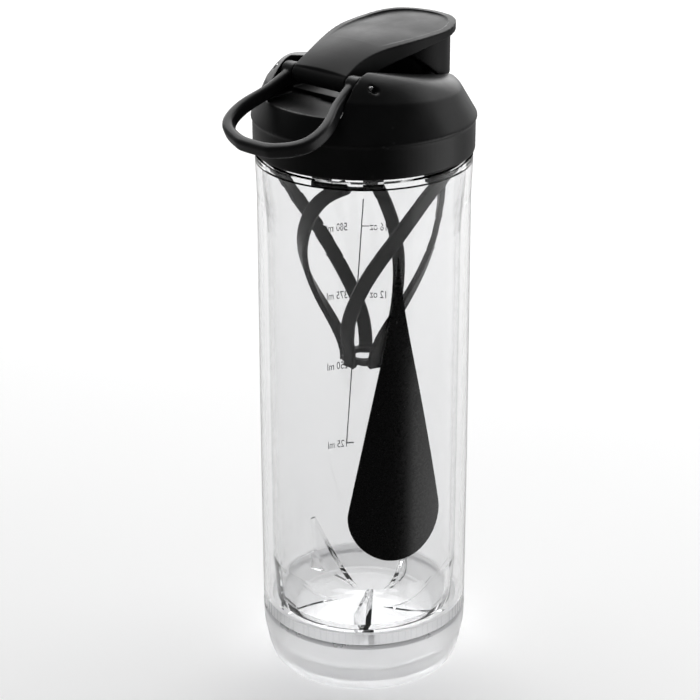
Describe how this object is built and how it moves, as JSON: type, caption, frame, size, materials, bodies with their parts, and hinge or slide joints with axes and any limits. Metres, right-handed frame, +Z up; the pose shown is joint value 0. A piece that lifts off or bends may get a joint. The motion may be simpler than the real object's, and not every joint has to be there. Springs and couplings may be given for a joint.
{
  "type": "shaker bottle",
  "caption": "Clear double-wall shaker bottle with a black flip-cap lid, swinging carry loop and a twisted-ribbon mixing cage hanging in the neck.",
  "frame": {"origin": "on the bottle's axis, in the plane of the base ring that it stands on", "axes": "+Z up along the bottle, +X from the hinge to the tip of the flip cap, Y along the hinge pin"},
  "size_m": [0.1034, 0.0846, 0.259],
  "materials": {
    "frosted_base": "frosted translucent copolyester",
    "clear_shell": "clear polished copolyester",
    "clear_vessel": "clear polished copolyester",
    "ink": "screen-printed black ink",
    "lid_plastic": "satin moulded polypropylene",
    "cap_plastic": "satin moulded polypropylene",
    "loop_plastic": "satin moulded polypropylene",
    "cage_plastic": "smooth moulded polypropylene",
    "silicone": "matt silicone",
    "pin_steel": "ground stainless steel"
  },
  "bodies": {
    "bottle": {"base_cup": "frosted_base", "outer_shell": "clear_shell", "inner_vessel": "clear_vessel", "drop_print": "ink", "volume_scale": "ink"},
    "lid_seal": {"lid_gasket": "silicone"},
    "lid": {"lid": "lid_plastic", "hinge_pin": "pin_steel"},
    "cap": {"flip_cap": "cap_plastic", "spout_seal": "silicone"},
    "loop": {"carry_loop": "loop_plastic"},
    "mixer": {"mixer_cage": "cage_plastic"}
  },
  "joints": [
    {"name": "lid_lift", "type": "slide", "parent": "bottle", "child": "lid_seal", "axis": [0, 0, 1], "range_m": [0, 0.12]},
    {"name": "lid_turn", "type": "hinge", "parent": "lid_seal", "child": "lid", "pos_m": [0, 0, 0.22], "axis": [0, 0, 1], "range_deg": [0, 360]},
    {"name": "cap_hinge", "type": "hinge", "parent": "lid", "child": "cap", "pos_m": [-0.0222, 0, 0.2459], "axis": [0, -1, 0], "range_deg": [0, 100]},
    {"name": "loop_hinge", "type": "hinge", "parent": "lid", "child": "loop", "pos_m": [-0.0222, 0, 0.2459], "axis": [0, 1, 0], "range_deg": [0, 70]},
    {"name": "mixer_turn", "type": "hinge", "parent": "lid", "child": "mixer", "pos_m": [0, 0, 0.215], "axis": [0, 0, 1], "range_deg": [0, 24]}
  ],
  "couplings": [
    {"joint": "lid_turn", "follows": "lid_lift", "rad_per_m": 52.36}
  ]
}
